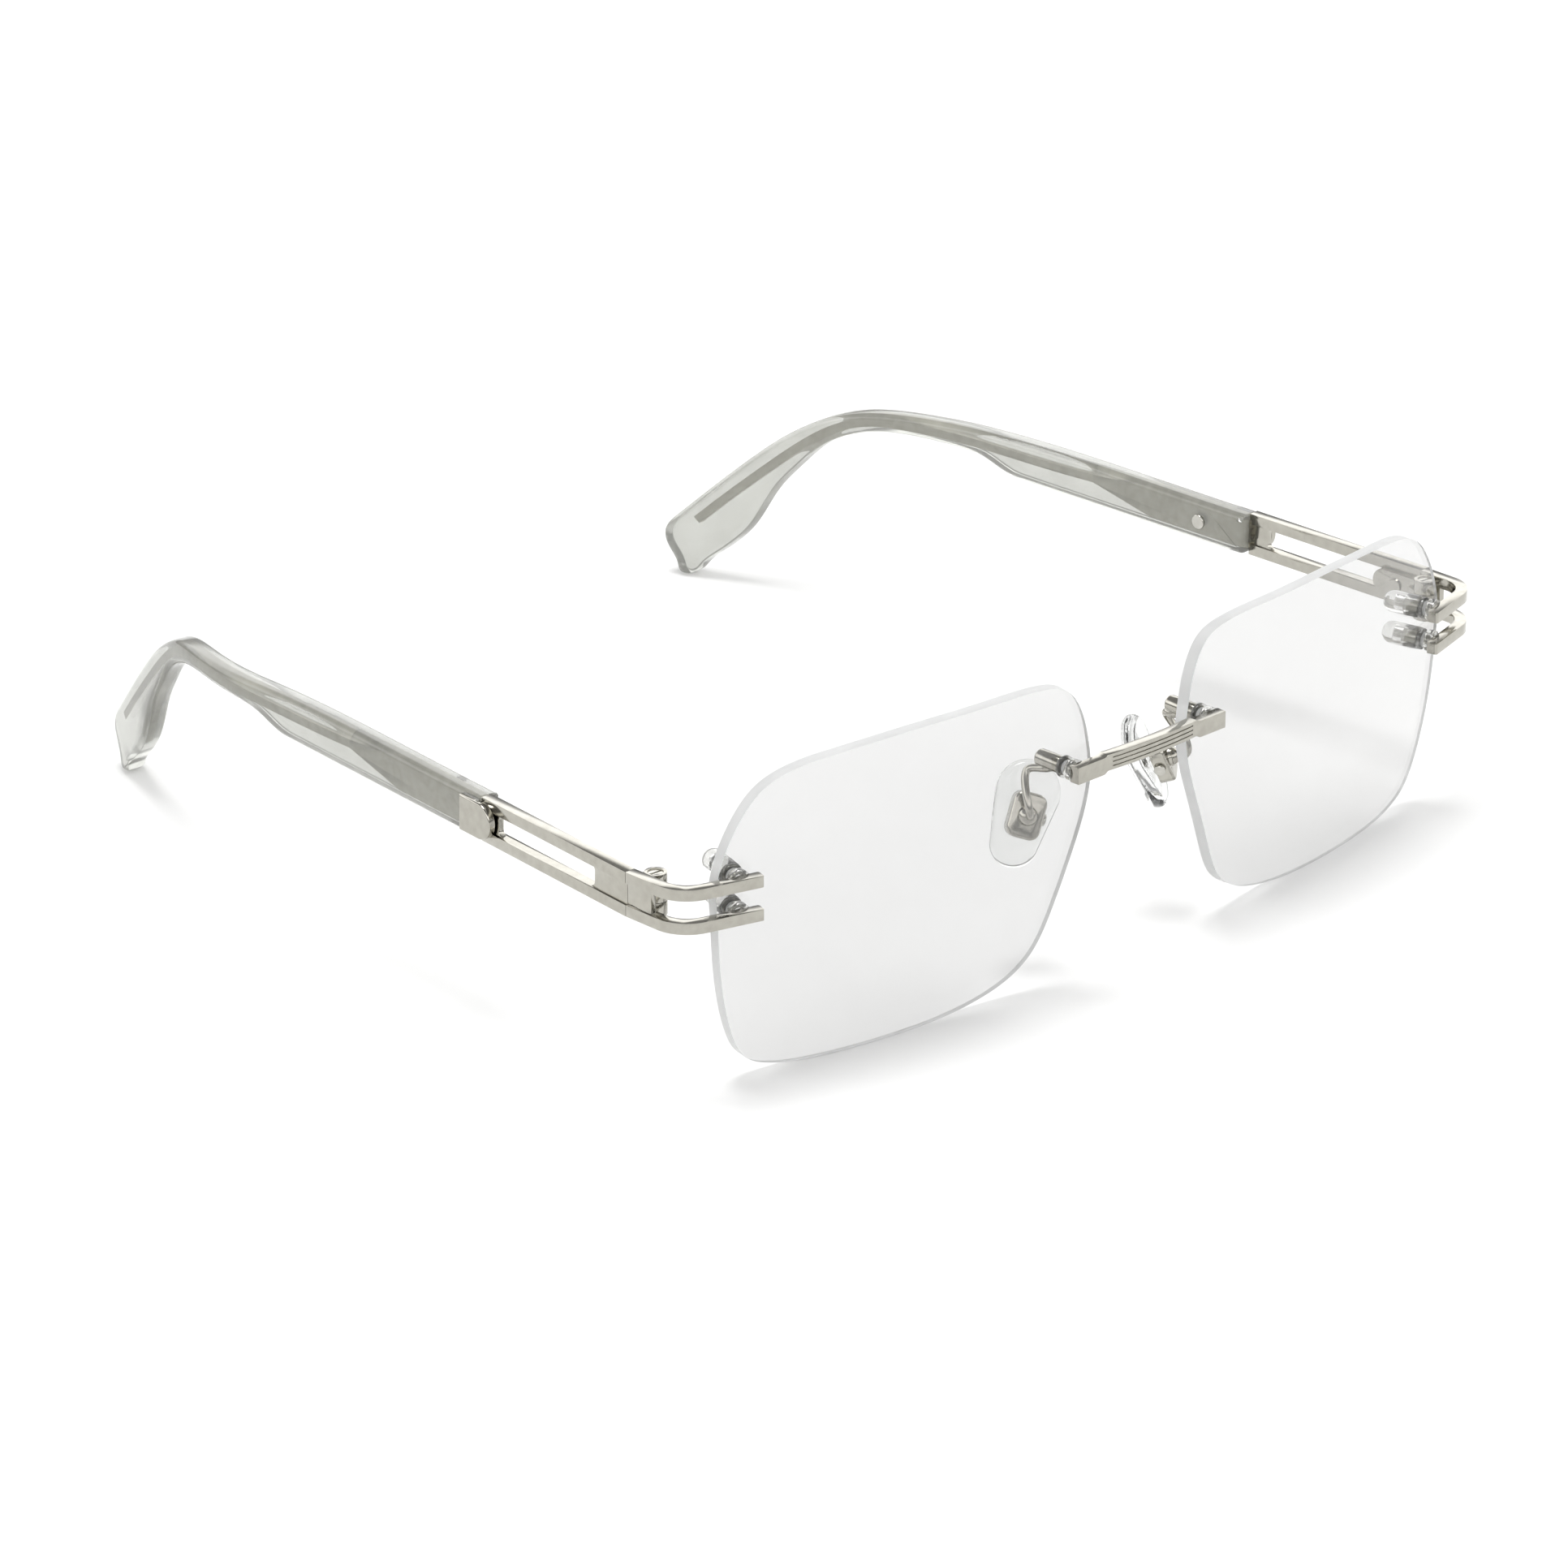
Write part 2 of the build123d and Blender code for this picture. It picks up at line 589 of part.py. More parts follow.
with BuildPart() as sleeve:
    with BuildSketch(temple_plane):
        with BuildLine():
            front_end = Line(
                (front_length, -sleeve_height / 2), (front_length, sleeve_height / 2)
            )
            under_front = Line(front_end @ 0, raised(step_start, -0.21))
            step = Spline(
                [under_front @ 1, raised(step_start + step_length, 0.12)],
                tangents=[(1, -0.01), (1, 0.04)],
            )
            under = Spline(
                [
                    step @ 1, drop(-0.05, 0.93), drop(0.164, 0.914), drop(0.276, 0.87),
                    drop(0.384, 0.785), drop(0.493, 0.638), drop(0.551, 0.552),
                    drop(0.592, 0.473), drop(0.634, 0.373), drop(0.679, 0.28),
                    drop(0.73, 0.207), drop(0.8, 0.128), drop(0.866, 0.045),
                    drop(0.91, 0.0),
                ],
                tangents=[(1, 0.04), (cos(rise), -sin(rise))],
            )
            over = Spline(
                [
                    front_end @ 1, raised(51.0, 0.74), raised(69.0, 0.76), drop(0.0, 1.028),
                    drop(0.205, 1.004), drop(0.315, 0.966), drop(0.425, 0.896),
                    drop(0.52, 0.815), drop(0.644, 0.683), drop(0.81, 0.485),
                    drop(0.975, 0.28),
                ],
                tangents=[(1, -0.01), (1, -1.0)],
            )
            Spline(
                [over @ 1, drop(1.0, 0.215), drop(0.978, 0.125), drop(0.945, 0.035), under @ 1],
                tangents=[over % 1, (-cos(rise), sin(rise))],
            )
        make_face()
    extrude(amount=lens_width, both=True)
    add(temple_band(sleeve_thickness), mode=Mode.INTERSECT)


def core_shape(clearance):
    """Plate at the front, tapering to a wire that runs to the tip, grown by a clearance."""
    plate_top = core_plate_height / 2 + clearance
    wire_top = core_wire_height / 2 + clearance
    plate_end = front_length + core_plate_length
    wire_start = raised(plate_end + core_taper_length, 0.38)
    with BuildPart() as core_solid:
        with BuildSketch(temple_plane):
            with BuildLine():
                Spline(
                    wire_start, raised(62.0, 0.355), raised(72.0, 0.36), drop(-0.11, 0.971),
                    drop(0.03, 0.97), drop(0.2, 0.954), drop(0.326, 0.896),
                    drop(0.45, 0.79), drop(0.608, 0.617), drop(0.767, 0.432),
                    drop(0.877, 0.297),
                )
            trace(line_width=core_wire_height + 2 * clearance)
            with BuildLine():
                Polyline(
                    (front_length, -plate_top), (plate_end, -plate_top),
                    (wire_start[0], wire_start[1] - wire_top),
                    (wire_start[0], wire_start[1] + wire_top),
                    (plate_end, plate_top), (front_length, plate_top),
                    close=True,
                )
            make_face()
        extrude(amount=lens_width, both=True)
        add(
            temple_band(core_thickness + 2 * clearance, -sleeve_middle - recess),
            mode=Mode.INTERSECT,
        )
    return core_solid.part


core = core_shape(0)

# D-shaped cap over the joint, let into the sleeve's outer face.
ferrule_start = front_length - ferrule_ahead
ferrule_end = ferrule_start + ferrule_length


def ferrule_shape(clearance):
    """Round at the front and straight at the back, grown by a clearance."""
    radius = ferrule_height / 2 + clearance
    round_centre = ferrule_start + ferrule_height / 2
    with BuildPart() as cap:
        with BuildSketch(temple_plane.offset(bar_depth / 2)):
            with Locations((round_centre, 0)):
                Circle(radius)
            with Locations(((round_centre + ferrule_end + clearance) / 2, 0)):
                Rectangle(ferrule_end + clearance - round_centre, 2 * radius)
        extrude(amount=sleeve_proud + ferrule_proud)
    return cap.part


with BuildPart() as ferrule:
    add(ferrule_shape(0))
    cap_face = ferrule.faces().sort_by(lambda face: face.center().dot(temple_plane.z_dir))[-1]
    fillet(cap_face.edges(), ferrule_edge)

# Rivet through the sleeve's inner wall into the core plate.
rivet_plane = temple_plane.offset(outer_face - sleeve_thickness)
rivet_length = sleeve_thickness - outer_face - recess - core_thickness / 2
rivet_along = front_length + rivet_back

with BuildPart() as rivet:
    with BuildSketch(rivet_plane):
        with Locations((rivet_along, 0)):
            Circle(rivet_radius)
    extrude(amount=rivet_length)
    with BuildSketch(rivet_plane):
        with Locations((rivet_along, 0)):
            Circle(rivet_head_radius)
    extrude(amount=-rivet_head_height)
    head = rivet.faces().sort_by(lambda face: face.center().dot(temple_plane.z_dir))[0]
    fillet(head.edges(), rivet_head_height * 0.6)

with BuildPart() as sleeve_hollow:
    add(sleeve.part)
    add(core_shape(core_clearance), mode=Mode.SUBTRACT)
    add(ferrule_shape(core_clearance), mode=Mode.SUBTRACT)
    with BuildSketch(rivet_plane):
        with Locations((rivet_along, 0)):
            Circle(rivet_radius + core_clearance)
    extrude(amount=rivet_length, mode=Mode.SUBTRACT)

# ---------------------------------------------------------------- both sides, and the files
left_pieces = {
    "lens": lens.part,
    "endpiece": endpiece_drilled.part,
    "temporal_posts": temporal_posts.part,
    "temporal_washers": temporal_washers.part,
    "temporal_bushes": temporal_bushes.part,
    "temporal_nuts": temporal_nuts.part,
    "temporal_caps": temporal_caps.part,
    "nasal_post": nasal_post.part,
    "nasal_washer": nasal_washer.part,
    "nasal_bush": nasal_bush.part,
    "nasal_barrel_nut": barrel_nut.part,
    "pad_arm": pad_arm.part,
    "pad_box": pad_box.part,
    "pad_screw": pad_screw.part,
    "nose_pad": nose_pad.part,
    "hinge_screw": hinge_screw.part,
    "hinge_leaf": hinge_leaf.part,
    "temple_front": temple_front.part,
    "temple_ferrule": ferrule.part,
    "temple_core": core,
    "temple_sleeve": sleeve_hollow.part,
    "temple_rivet": rivet.part,
}
pieces = {"bridge": bridge_finished.part}
for name, left_piece in left_pieces.items():
    pieces[name + "_left"] = left_piece
    pieces[name + "_right"] = mirror(left_piece, about=Plane.YZ)

everything = Compound(children=[piece.solids()[0] for piece in pieces.values()]).bounding_box()
to_origin = Location((0, -(everything.min.Y + everything.max.Y) / 2, 0))

os.makedirs("parts", exist_ok=True)
for name, piece in pieces.items():
    placed = piece.moved(to_origin)
    placed.label = name
    export_step(placed, "parts/" + name + ".step")

moved = to_origin.position
print("moved by", moved)
print("hinge axis at", Vector(hinge_x, hinge_y, rails_up) + moved)
print("pad screw at", pad_plane.offset(pin_up).origin + moved, "along", pad_plane.x_dir)
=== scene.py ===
import math
import bmesh
import bpy
import numpy as np
from mathutils import Matrix, Vector


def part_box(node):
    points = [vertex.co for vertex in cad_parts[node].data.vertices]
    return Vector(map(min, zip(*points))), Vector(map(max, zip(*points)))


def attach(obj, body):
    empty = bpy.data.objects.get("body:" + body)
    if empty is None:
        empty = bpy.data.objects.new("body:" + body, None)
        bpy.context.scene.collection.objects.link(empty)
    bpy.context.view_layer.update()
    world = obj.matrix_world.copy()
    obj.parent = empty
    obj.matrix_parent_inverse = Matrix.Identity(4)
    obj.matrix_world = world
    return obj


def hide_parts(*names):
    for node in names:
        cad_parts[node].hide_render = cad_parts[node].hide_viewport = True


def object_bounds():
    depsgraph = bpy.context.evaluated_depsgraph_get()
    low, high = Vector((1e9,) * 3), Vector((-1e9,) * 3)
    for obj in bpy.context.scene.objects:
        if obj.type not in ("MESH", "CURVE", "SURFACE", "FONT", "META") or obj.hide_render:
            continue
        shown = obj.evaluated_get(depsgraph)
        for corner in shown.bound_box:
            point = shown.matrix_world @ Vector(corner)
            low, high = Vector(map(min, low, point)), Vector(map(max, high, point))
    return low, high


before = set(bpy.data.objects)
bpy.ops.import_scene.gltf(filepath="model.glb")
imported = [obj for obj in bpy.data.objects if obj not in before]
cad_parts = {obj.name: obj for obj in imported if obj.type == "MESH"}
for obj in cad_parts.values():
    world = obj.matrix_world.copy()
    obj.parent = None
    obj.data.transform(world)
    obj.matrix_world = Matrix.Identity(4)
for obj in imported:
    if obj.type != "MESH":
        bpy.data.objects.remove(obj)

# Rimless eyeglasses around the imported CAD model, in metres.
# +X is the wearer's left, +Y runs from the lenses back to the temple tips, +Z is up.
cad_box = [list(corner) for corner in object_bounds()]
MM = 0.001
SIDES = ("left", "right")
MERGE_GAP = 2e-6
scene = bpy.context.scene


# ---------------------------------------------------------------- materials
def new_material(name):
    """A material with its Principled node, ready for set_values."""
    material = bpy.data.materials.new(name)
    material.use_nodes = True
    return material, material.node_tree.nodes["Principled BSDF"]


def set_values(shader, **values):
    """Sets a shader's inputs by name, with _ in place of each space."""
    for name, value in values.items():
        shader.inputs[name.replace("_", " ")].default_value = value


def add_noise(material, scale, detail=4.0):
    """Noise in the object's own space, with scale in cycles per metre."""
    nodes, links = material.node_tree.nodes, material.node_tree.links
    place = nodes.new("ShaderNodeTexCoord")
    noise = nodes.new("ShaderNodeTexNoise")
    noise.inputs["Scale"].default_value = scale
    noise.inputs["Detail"].default_value = detail
    links.new(place.outputs["Object"], noise.inputs["Vector"])
    return noise.outputs["Fac"]


def add_range(material, source, low, high, start=0.3, end=0.7):
    """Maps a grey pattern to values from low to high."""
    node = material.node_tree.nodes.new("ShaderNodeMapRange")
    for name, value in (("From Min", start), ("From Max", end), ("To Min", low), ("To Max", high)):
        node.inputs[name].default_value = value
    material.node_tree.links.new(source, node.inputs["Value"])
    return node.outputs["Result"]


def add_tints(material, source, dark, light, start=0.3, end=0.7):
    """Maps a grey pattern to colours from dark to light."""
    ramp = material.node_tree.nodes.new("ShaderNodeValToRGB")
    ramp.color_ramp.elements[0].position, ramp.color_ramp.elements[0].color = start, (*dark, 1)
    ramp.color_ramp.elements[1].position, ramp.color_ramp.elements[1].color = end, (*light, 1)
    material.node_tree.links.new(source, ramp.inputs["Fac"])
    return ramp.outputs["Color"]


def add_bump(material, shader, source, height, strength=1.0):
    """Bump of a height in metres from a grey pattern."""
    bump = material.node_tree.nodes.new("ShaderNodeBump")
    bump.inputs["Distance"].default_value = height
    bump.inputs["Strength"].default_value = strength
    material.node_tree.links.new(source, bump.inputs["Height"])
    material.node_tree.links.new(bump.outputs["Normal"], shader.inputs["Normal"])


def metal(name, dark, light, rough_low, rough_high, wave=0.0):
    """Plated metal: slightly uneven plating, a little haze, and a faint polish wave."""
    material, shader = new_material(name)
    set_values(shader, Metallic=1.0)
    links = material.node_tree.links
    tone = add_noise(material, 900.0, 5.0)
    links.new(add_tints(material, tone, dark, light), shader.inputs["Base Color"])
    haze = add_noise(material, 2600.0, 3.0)
    links.new(add_range(material, haze, rough_low, rough_high), shader.inputs["Roughness"])
    if wave:
        add_bump(material, shader, add_noise(material, 420.0, 1.0), wave)
    return material


def clear_plastic(name, dark, light, rough_low, rough_high, ior, transmission=1.0):
    """Clear or milky plastic with a slight variation in tint and in polish."""
    material, shader = new_material(name)
    set_values(shader, IOR=ior, Transmission_Weight=transmission)
    links = material.node_tree.links
    tone = add_noise(material, 240.0, 3.0)
    links.new(add_tints(material, tone, dark, light), shader.inputs["Base Color"])
    haze = add_noise(material, 1500.0, 3.0)
    links.new(add_range(material, haze, rough_low, rough_high), shader.inputs["Roughness"])
    return material


nickel = metal("nickel", (0.40, 0.386, 0.343), (0.46, 0.446, 0.40), 0.10, 0.16, 4e-6)
nickel_screw = metal("nickel_screw", (0.46, 0.45, 0.41), (0.56, 0.55, 0.51), 0.14, 0.26)
core_steel = metal("core_steel", (0.36, 0.345, 0.29), (0.46, 0.445, 0.385), 0.3, 0.45, 3e-6)
lens_clear = clear_plastic("lens_clear", (0.765, 0.765, 0.765), (0.775, 0.775, 0.775), 0.0, 0.008, 1.5)
lens_edge = clear_plastic("lens_edge", (0.86, 0.865, 0.86), (0.93, 0.935, 0.93), 0.45, 0.6, 1.5, 0.45)
acetate = clear_plastic("acetate", (0.57, 0.575, 0.54), (0.65, 0.655, 0.62), 0.05, 0.11, 1.49, 0.78)
silicone = clear_plastic("silicone", (0.88, 0.89, 0.88), (0.94, 0.945, 0.94), 0.02, 0.06, 1.45, 0.98)
clear_cap = clear_plastic("clear_cap", (0.80, 0.80, 0.78), (0.88, 0.88, 0.86), 0.04, 0.10, 1.47, 0.92)


# ---------------------------------------------------------------- mesh helpers
def add_piece(name, mesh, material, body, *nodes, slot):
    """Puts a mesh in the scene as a piece that stands for CAD nodes and rides on a body."""
    piece = bpy.data.objects.new(name, mesh)
    scene.collection.objects.link(piece)
    for each in material if isinstance(material, (list, tuple)) else [material]:
        mesh.materials.append(each)
    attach(piece, body)
    if nodes:
        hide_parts(*nodes)


def node_bmesh(node, flat_angle=0.5):
    """A CAD node's surface with its seams joined and its flat faces made whole."""
    bm = bmesh.new()
    bm.from_mesh(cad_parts[node].data)
    bmesh.ops.remove_doubles(bm, verts=bm.verts, dist=MERGE_GAP)
    bmesh.ops.dissolve_limit(
        bm, angle_limit=math.radians(flat_angle), verts=bm.verts, edges=bm.edges,
    )
    return bm


def soften(bm, width, angle=30.0, segments=2):
    """Rounds every edge sharper than an angle."""
    sharp = [
        edge for edge in bm.edges
        if len(edge.link_faces) == 2 and edge.calc_face_angle(0.0) > math.radians(angle)
    ]
    bmesh.ops.bevel(
        bm, geom=sharp, offset=width, segments=segments, profile=0.5,
        affect="EDGES", clamp_overlap=True,
    )


def finish_mesh(bm, name, smooth_angle=35.0):
    """A mesh that is smooth but for its edges sharper than an angle."""
    mesh = bpy.data.meshes.new(name)
    bmesh.ops.recalc_face_normals(bm, faces=bm.faces)
    for face in bm.faces:
        face.smooth = True
    for edge in bm.edges:
        if len(edge.link_faces) == 2 and edge.calc_face_angle(0.0) > math.radians(smooth_angle):
            edge.smooth = False
    bm.to_mesh(mesh)
    bm.free()
    return mesh


def softened_node(node, material, body, slot, width, angle=30.0, segments=2):
    """A piece with a CAD node's shape, its sharp edges rounded as polishing leaves them."""
    bm = node_bmesh(node)
    soften(bm, width, angle, segments)
    add_piece(node + "_finished", finish_mesh(bm, node), material, body, node, slot=slot)


# ---------------------------------------------------------------- metal pieces
softened_node("bridge", nickel, "front", "frame_metal", 0.12 * MM, 40.0)
METAL = {
    "endpiece": ("front", nickel, 0.14),
    "nasal_barrel_nut": ("front", nickel, 0.10),
    "temporal_nuts": ("front", nickel_screw, 0.08),
    "pad_box": ("front", nickel, 0.06),
    "pad_arm": ("front", nickel, 0.0),
    "pad_screw": ("front", nickel_screw, 0.08),
    "hinge_screw": ("front", nickel_screw, 0.06),
    "hinge_leaf": ("temple", nickel, 0.08),
    "temple_front": ("temple", nickel, 0.12),
    "temple_ferrule": ("temple", nickel, 0.06),
    "temple_rivet": ("temple", nickel_screw, 0.04),
    "temple_core": ("temple", core_steel, 0.12),
}
SLOTS = {nickel: "frame_metal", nickel_screw: "screw", core_steel: "core"}
for side in SIDES:
    for part, (owner, material, width) in METAL.items():
        body = owner if owner == "front" else owner + "_" + side
        softened_node(part + "_" + side, material, body, SLOTS[material], width * MM)

# ---------------------------------------------------------------- studs with their threads
THREAD_PITCH = 0.35 * MM
THREAD_DEPTH = 0.10 * MM
TURN_STEPS = 28
PITCH_STEPS = 8


def split_points(node):
    """The vertices of each separate solid in a CAD node, as arrays."""
    bm = bmesh.new()
    bm.from_mesh(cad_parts[node].data)
    bmesh.ops.remove_doubles(bm, verts=bm.verts, dist=MERGE_GAP)
    groups, seen = [], set()
    for start in bm.verts:
        if start in seen:
            continue
        seen.add(start)
        found, waiting = [], [start]
        while waiting:
            vertex = waiting.pop()
            found.append(tuple(vertex.co))
            for edge in vertex.link_edges:
                other = edge.other_vert(vertex)
                if other not in seen:
                    seen.add(other)
                    waiting.append(other)
        groups.append(np.array(found))
    bm.free()
    return groups


def add_thread(bm, points):
    """A stud with a cut thread and chamfered ends, in the place of a plain cylinder."""
    middle = (points.min(axis=0) + points.max(axis=0)) / 2
    axis = np.linalg.svd(points - points.mean(axis=0))[2][0]
    across = np.cross(axis, (0.0, 0.0, 1.0))
    across /= np.linalg.norm(across)
    other = np.cross(axis, across)
    along = (points - middle) @ axis
    radius = np.linalg.norm((points - middle) - np.outer(along, axis), axis=1).max()
    start, length = along.min(), along.max() - along.min()
    rows = int(length / THREAD_PITCH * PITCH_STEPS)
    rings = []
    for row in range(rows + 1):
        height = start + length * row / rows
        end_gap = min(row, rows - row) / rows * length
        chamfer = max(0.0, THREAD_DEPTH - end_gap)
        ring = []
        for step in range(TURN_STEPS):
            angle = 2 * math.pi * step / TURN_STEPS
            phase = (height / THREAD_PITCH - step / TURN_STEPS) % 1.0
            groove = THREAD_DEPTH * abs(2 * phase - 1)
            reach = radius - max(groove, chamfer)
            outward = across * math.cos(angle) + other * math.sin(angle)
            ring.append(bm.verts.new(middle + axis * height + outward * reach))
        rings.append(ring)
    for low, high in zip(rings, rings[1:]):
        for step in range(TURN_STEPS):
            after = (step + 1) % TURN_STEPS
            bm.faces.new((low[step], low[after], high[after], high[step]))
    bm.faces.new(reversed(rings[0]))
    bm.faces.new(rings[-1])


def threaded_studs(node):
    """A piece with a cut thread on each stud of a CAD node."""
    bm = bmesh.new()
    for points in split_points(node):
        add_thread(bm, points)
    add_piece(
        node + "_threaded", finish_mesh(bm, node, 50.0), nickel_screw, "front", node, slot="screw",
    )


# ---------------------------------------------------------------- temple sleeves
LEAN = math.radians(4.0)
RISE = math.radians(1.5)
SLEEVE_ROUND = 0.9 * MM
ROUND_STEPS = 6
SLEEVE_STEP = 0.5 * MM
CORNER_REACH = 1.6 * MM
CORNER_POINTS = 8
SMOOTH_PASSES = 3
SIDE_FACING = 0.9
TIP_SLANT = 0.55


def side_axes(side):
    """Back along the temple, up, and outwards, for one side."""
    out = 1.0 if side == "left" else -1.0
    along = np.array((
        -out * math.sin(LEAN) * math.cos(RISE), math.cos(LEAN) * math.cos(RISE), math.sin(RISE),
    ))
    outwards = np.array((out * math.cos(LEAN), math.sin(LEAN), 0.0))
    upwards = np.cross(outwards, along) * out
    return along, upwards, outwards


def longest_loop(faces):
    """The longest closed chain of edges round a set of faces."""
    rim = {}
    for face in faces:
        for edge in face.edges:
            if sum(other in faces for other in edge.link_faces) == 1:
                for vertex in edge.verts:
                    rim.setdefault(vertex, set()).update(v for v in edge.verts if v is not vertex)
    loops, used = [], set()
    for start in rim:
        if start in used:
            continue
        chain, vertex = [], start
        while vertex is not None:
            used.add(vertex)
            chain.append(vertex)
            vertex = next((v for v in rim[vertex] if v not in used), None)
        loops.append(chain)
    return max(loops, key=lambda chain: sum((a.co - b.co).length for a, b in zip(chain, chain[1:])))


def resampled(points, step):
    """Points evenly spaced along a polyline."""
    gaps = np.linalg.norm(np.diff(points, axis=0), axis=1)
    walked = np.concatenate(([0.0], np.cumsum(gaps)))
    count = max(2, int(round(walked[-1] / step)) + 1)
    marks = np.linspace(0.0, walked[-1], count)
    return np.stack([np.interp(marks, walked, points[:, axis]) for axis in range(2)], axis=1)


def resampled_to(points, count):
    """A given number of points evenly spaced along a polyline."""
    length = np.linalg.norm(np.diff(points, axis=0), axis=1).sum()
    return resampled(points, length / (count - 1))


def sleeve_outline(bm, axes):
    """The sleeve's outline in its side view, as an over half and an under half."""
    along, upwards, outwards = axes
    inner = {face for face in bm.faces if -Vector(outwards).dot(face.normal) > SIDE_FACING}
    loop = np.array([tuple(vertex.co) for vertex in longest_loop(inner)])
    flat = np.stack([loop @ along, loop @ upwards], axis=1)
    front = np.argmin(flat[:, 0] - 0.001 * flat[:, 1])
    flat = np.roll(flat, -front, axis=0)
    if flat[1, 1] < flat[0, 1] - 1e-5 and abs(flat[1, 0] - flat[0, 0]) < 1e-4:
        flat = np.roll(flat[::-1], 1, axis=0)
    tip = np.argmax(flat[:, 0] * TIP_SLANT - flat[:, 1])
    over, under = flat[:tip + 1], np.concatenate((flat[tip:], flat[:1]))[::-1]
    return over, under


def round_corner(points, corner):
    """Replaces the outline near a sharp corner by a smooth turn."""
    distance = np.linalg.norm(points - corner, axis=1)
    near = np.where(distance < CORNER_REACH)[0]
    first, last = near[0], near[-1]
    start, end = points[first], points[last]
    for index in near:
        share = (index - first) / max(1, last - first)
        points[index] = (
            start * (1 - share) ** 2 + corner * 2 * share * (1 - share) + end * share ** 2
        )


def inward_normals(points):
    """Unit normals into a closed outline that runs clockwise or anticlockwise."""
    ahead, behind = np.roll(points, -1, axis=0), np.roll(points, 1, axis=0)
    run = ahead - behind
    run /= np.linalg.norm(run, axis=1)[:, None]
    area = np.sum(points[:, 0] * ahead[:, 1] - ahead[:, 0] * points[:, 1])
    turn = 1.0 if area > 0 else -1.0
    return np.stack([-run[:, 1], run[:, 0]], axis=1) * turn


def face_widths(bm, axes):
    """How far out the sleeve's two faces stand, along the way back."""
    along, _, outwards = axes
    level_along = np.cross((0.0, 0.0, 1.0), outwards)
    level_along *= np.sign(level_along @ along)
    widths = {}
    for sign in (1, -1):
        faces = {face for face in bm.faces if Vector(outwards).dot(face.normal) * sign > SIDE_FACING}
        loop = np.array([tuple(vertex.co) for vertex in longest_loop(faces)])
        table = np.stack([loop @ level_along, loop @ outwards], axis=1)
        widths[sign] = table[np.argsort(table[:, 0])]
    return level_along, widths


def solid_sleeve(side):
    """The acetate as one solid block with rounded edges, moulded round its steel core."""
    node = "temple_sleeve_" + side
    axes = side_axes(side)
    along, upwards, outwards = axes
    bm = bmesh.new()
    bm.from_mesh(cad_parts[node].data)
    bmesh.ops.remove_doubles(bm, verts=bm.verts, dist=MERGE_GAP)
    bm.normal_update()
    over, under = sleeve_outline(bm, axes)
    front_top, front_bottom = over[0].copy(), under[0].copy()
    if front_top[1] < front_bottom[1]:
        over, under = under, over
        front_top, front_bottom = front_bottom, front_top
    level_along, widths = face_widths(bm, axes)
    bm.free()

    count = len(resampled(over, SLEEVE_STEP))
    front = resampled(np.array([front_bottom, front_top]), SLEEVE_STEP)
    over_even, under_even = (resampled_to(half, count) for half in (over, under))
    middle = len(front) // 2
    outline = np.concatenate((front[middle:-1], over_even, under_even[-2::-1], front[1:middle]))
    corner_span = 2 * middle + CORNER_POINTS
    round_corner(outline[:corner_span], front_top)
    round_corner(outline[-corner_span:], front_bottom)
    for _ in range(SMOOTH_PASSES):
        beside = np.roll(outline, 1, axis=0) + np.roll(outline, -1, axis=0)
        outline = outline * 0.5 + beside * 0.25
    inward = inward_normals(outline)

    bm = bmesh.new()
    total = len(outline)
    rings = []
    steps = [
        (SLEEVE_ROUND * (1 - math.sin(turn)), SLEEVE_ROUND * (1 - math.cos(turn)))
        for turn in (0.5 * math.pi * step / ROUND_STEPS for step in range(ROUND_STEPS + 1))
    ]
    rows = [(1, *step) for step in steps] + [(-1, *step) for step in reversed(steps)]
    for sign, inset, depth in rows:
        flat = outline + inward * inset
        ring = []
        for back, up in flat:
            place = along * back + upwards * up
            away = place @ level_along
            reach = np.interp(away, widths[sign][:, 0], widths[sign][:, 1]) - sign * depth
            place = place + outwards * reach
            ring.append(bm.verts.new(place))
        rings.append(ring)
    for upper, lower in zip(rings, rings[1:]):
        for index in range(total):
            after = (index + 1) % total
            bm.faces.new((upper[index], upper[after], lower[after], lower[index]))
    for ring in (rings[0], rings[-1]):
        for index in range(total // 2):
            a, b = ring[index], ring[index + 1]
            c, d = ring[(total - 2 - index) % total], ring[(total - 1 - index) % total]
            corners = list(dict.fromkeys((a, b, c, d)))
            if len(corners) > 2 and index + 1 <= total - 2 - index:
                bm.faces.new(corners)
    loose = [edge for edge in bm.edges if edge.is_boundary]
    if loose:
        bmesh.ops.holes_fill(bm, edges=loose, sides=0)
    add_piece(
        node + "_moulded", finish_mesh(bm, node, 70.0), acetate, "temple_" + side, node,
        slot="sleeve",
    )


# ---------------------------------------------------------------- clear pieces
CLEAR = {"temporal_washers": 0.12, "temporal_bushes": 0.1, "nasal_washer": 0.12, "nasal_bush": 0.1}
for side in SIDES:
    for part, width in CLEAR.items():
        softened_node(part + "_" + side, clear_cap, "front", "clear_washer", width * MM)
    softened_node("temporal_caps_" + side, clear_cap, "front", "clear_cap", 0.08 * MM)
    softened_node("nose_pad_" + side, silicone, "pad_" + side, "pad", 0.1 * MM)
    for part in ("temporal_posts", "nasal_post"):
        threaded_studs(part + "_" + side)
    solid_sleeve(side)


# ---------------------------------------------------------------- lenses
POLISHED = 0.93
LENS_WRAP = math.radians(8.0)
LENS_TILT = math.radians(3.0)


def sphere_centre(points):
    """Centre of the sphere that a set of points lies on."""
    shifted = points - points.mean(axis=0)
    table = np.column_stack((2 * shifted, np.ones(len(points))))
    answer = np.linalg.lstsq(table, (shifted ** 2).sum(axis=1), rcond=None)[0]
    return Vector(answer[:3] + points.mean(axis=0))


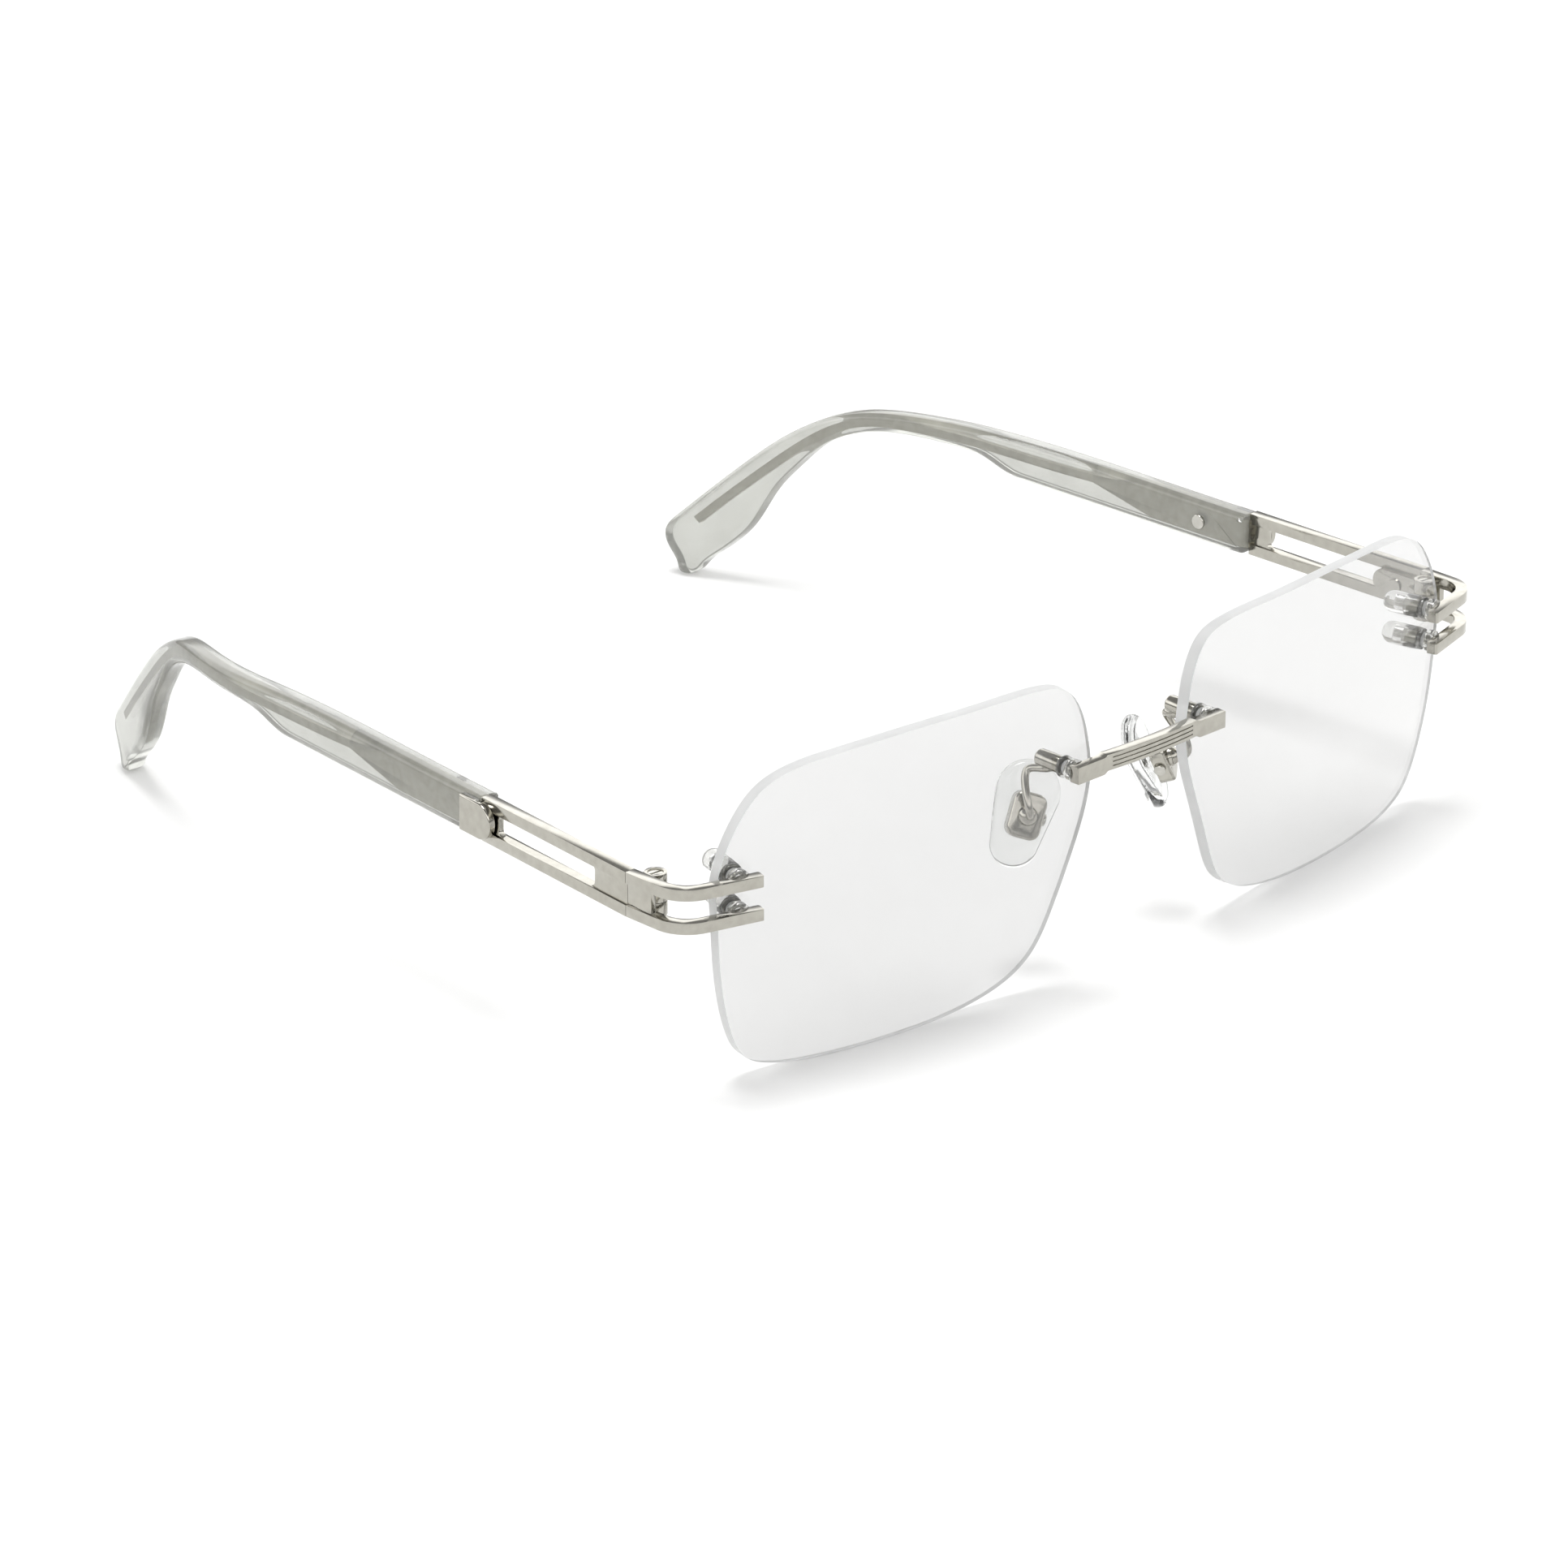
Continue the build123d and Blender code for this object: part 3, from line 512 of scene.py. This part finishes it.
def lens_piece(side):
    """Polished spherical faces with a ground edge: the rim is bevelled and frosted."""
    node = "lens_" + side
    bm = bmesh.new()
    bm.from_mesh(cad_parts[node].data)
    bmesh.ops.remove_doubles(bm, verts=bm.verts, dist=MERGE_GAP)
    bm.normal_update()
    low, high = (Vector(corner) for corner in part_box(node))
    wrap = math.copysign(LENS_WRAP, (low + high).x)
    facing = Vector((
        math.sin(wrap) * math.cos(LENS_TILT),
        -math.cos(wrap) * math.cos(LENS_TILT),
        -math.sin(LENS_TILT),
    ))
    centres = {}
    for sign in (1, -1):
        found = {
            tuple(vertex.co) for face in bm.faces if face.normal.dot(facing) * sign > POLISHED
            for vertex in face.verts
        }
        centres[sign] = sphere_centre(np.array(sorted(found)))
    soften(bm, 0.16 * MM, 45.0, 2)
    bm.normal_update()
    for face in bm.faces:
        face.material_index = 0 if abs(face.normal.dot(facing)) > POLISHED else 1
    mesh = finish_mesh(bm, node, 25.0)
    normals = [(0.0, 0.0, 0.0)] * len(mesh.loops)
    for face in mesh.polygons:
        if face.material_index == 0:
            sign = 1 if face.normal.dot(facing) > 0 else -1
            for corner in face.loop_indices:
                place = mesh.vertices[mesh.loops[corner].vertex_index].co
                normals[corner] = (place - centres[sign]).normalized() * sign
    mesh.normals_split_custom_set(normals)
    add_piece(
        node + "_finished", mesh, [lens_clear, lens_edge], "front", node, slot="lens",
    )


for side in SIDES:
    lens_piece(side)

# ---------------------------------------------------------------- floor, light and camera
floor_mesh = bpy.data.meshes.new("floor")
FLOOR = 3.0
FLOOR_GAP = 0.1 * MM
floor_mesh.from_pydata(
    [(-FLOOR, -FLOOR, 0), (FLOOR, -FLOOR, 0), (FLOOR, FLOOR, 0), (-FLOOR, FLOOR, 0)],
    [], [(0, 1, 2, 3)],
)
floor = bpy.data.objects.new("floor", floor_mesh)
floor.location.z = -FLOOR_GAP
scene.collection.objects.link(floor)
floor_material, floor_shader = new_material("floor_white")
set_values(floor_shader, Base_Color=(0.88, 0.88, 0.875, 1), Roughness=0.9, Specular_IOR_Level=0.0)
floor_mesh.materials.append(floor_material)

# Grey of the surroundings by height, from straight below to straight above.
SKY_STOPS = ((0.0, 0.12), (0.15, 0.3), (0.26, 1.0), (0.48, 1.0), (0.66, 0.16), (1.0, 0.14))
SKY_STRENGTH = 2.15
world = bpy.data.worlds.new("studio")
scene.world = world
world.use_nodes = True
sky = world.node_tree.nodes
sky_links = world.node_tree.links
sky_place = sky.new("ShaderNodeTexCoord")
sky_split = sky.new("ShaderNodeSeparateXYZ")
sky_ramp = sky.new("ShaderNodeValToRGB")
sky_links.new(sky_place.outputs["Generated"], sky_split.inputs["Vector"])
sky_links.new(sky_split.outputs["Z"], sky_ramp.inputs["Fac"])
sky_links.new(sky_ramp.outputs["Color"], sky["Background"].inputs["Color"])
ramp = sky_ramp.color_ramp
ramp.elements[0].position, ramp.elements[0].color = SKY_STOPS[0][0], (SKY_STOPS[0][1],) * 3 + (1,)
ramp.elements[1].position, ramp.elements[1].color = SKY_STOPS[-1][0], (SKY_STOPS[-1][1],) * 3 + (1,)
for position, grey in SKY_STOPS[1:-1]:
    ramp.elements.new(position).color = (grey,) * 3 + (1,)
sky["Background"].inputs["Strength"].default_value = SKY_STRENGTH


def area_light(name, place, target, size, power):
    """A rectangular light of a size and power, aimed at a target."""
    lamp = bpy.data.lights.new(name, "AREA")
    lamp.shape = "RECTANGLE"
    lamp.size, lamp.size_y = size
    lamp.energy = power
    holder = bpy.data.objects.new(name, lamp)
    holder.location = place
    holder.rotation_euler = (Vector(target) - Vector(place)).to_track_quat("-Z", "Y").to_euler()
    scene.collection.objects.link(holder)


area_light("key", (-0.05, 0.10, 1.15), (0, 0, 0), (0.42, 0.42), 7.0)
area_light("fill", (0.7, -0.4, 0.9), (0, 0, 0), (0.9, 0.6), 1.0)

# The view: turned 43.87 degrees to the wearer's right of straight ahead and 23 degrees up.
AZIMUTH, ELEVATION, ROLL = (math.radians(angle) for angle in (-43.87, 23.0, -0.24))
DISTANCE = 1.0002
SENSOR_WIDTH = 36.0
FOCAL_LENGTH = 177.83851
TARGET = Vector((0.0, cad_box[0][1] + 0.06551, 0.004252))
back = Vector((
    math.sin(AZIMUTH) * math.cos(ELEVATION),
    -math.cos(AZIMUTH) * math.cos(ELEVATION),
    math.sin(ELEVATION),
))
right = Vector((math.cos(AZIMUTH), math.sin(AZIMUTH), 0))
up = back.cross(right)
turned_right = right * math.cos(ROLL) + up * math.sin(ROLL)
turned_up = up * math.cos(ROLL) - right * math.sin(ROLL)
lens = bpy.data.cameras.new("camera")
lens.sensor_width = SENSOR_WIDTH
lens.lens = FOCAL_LENGTH
lens.clip_start, lens.clip_end = 0.01, 20.0
camera = bpy.data.objects.new("camera", lens)
camera.matrix_world = Matrix.Translation(TARGET + back * DISTANCE) @ Matrix(
    (turned_right, turned_up, back)
).transposed().to_4x4()
scene.collection.objects.link(camera)
scene.camera = camera
scene.view_settings.view_transform = "Standard"
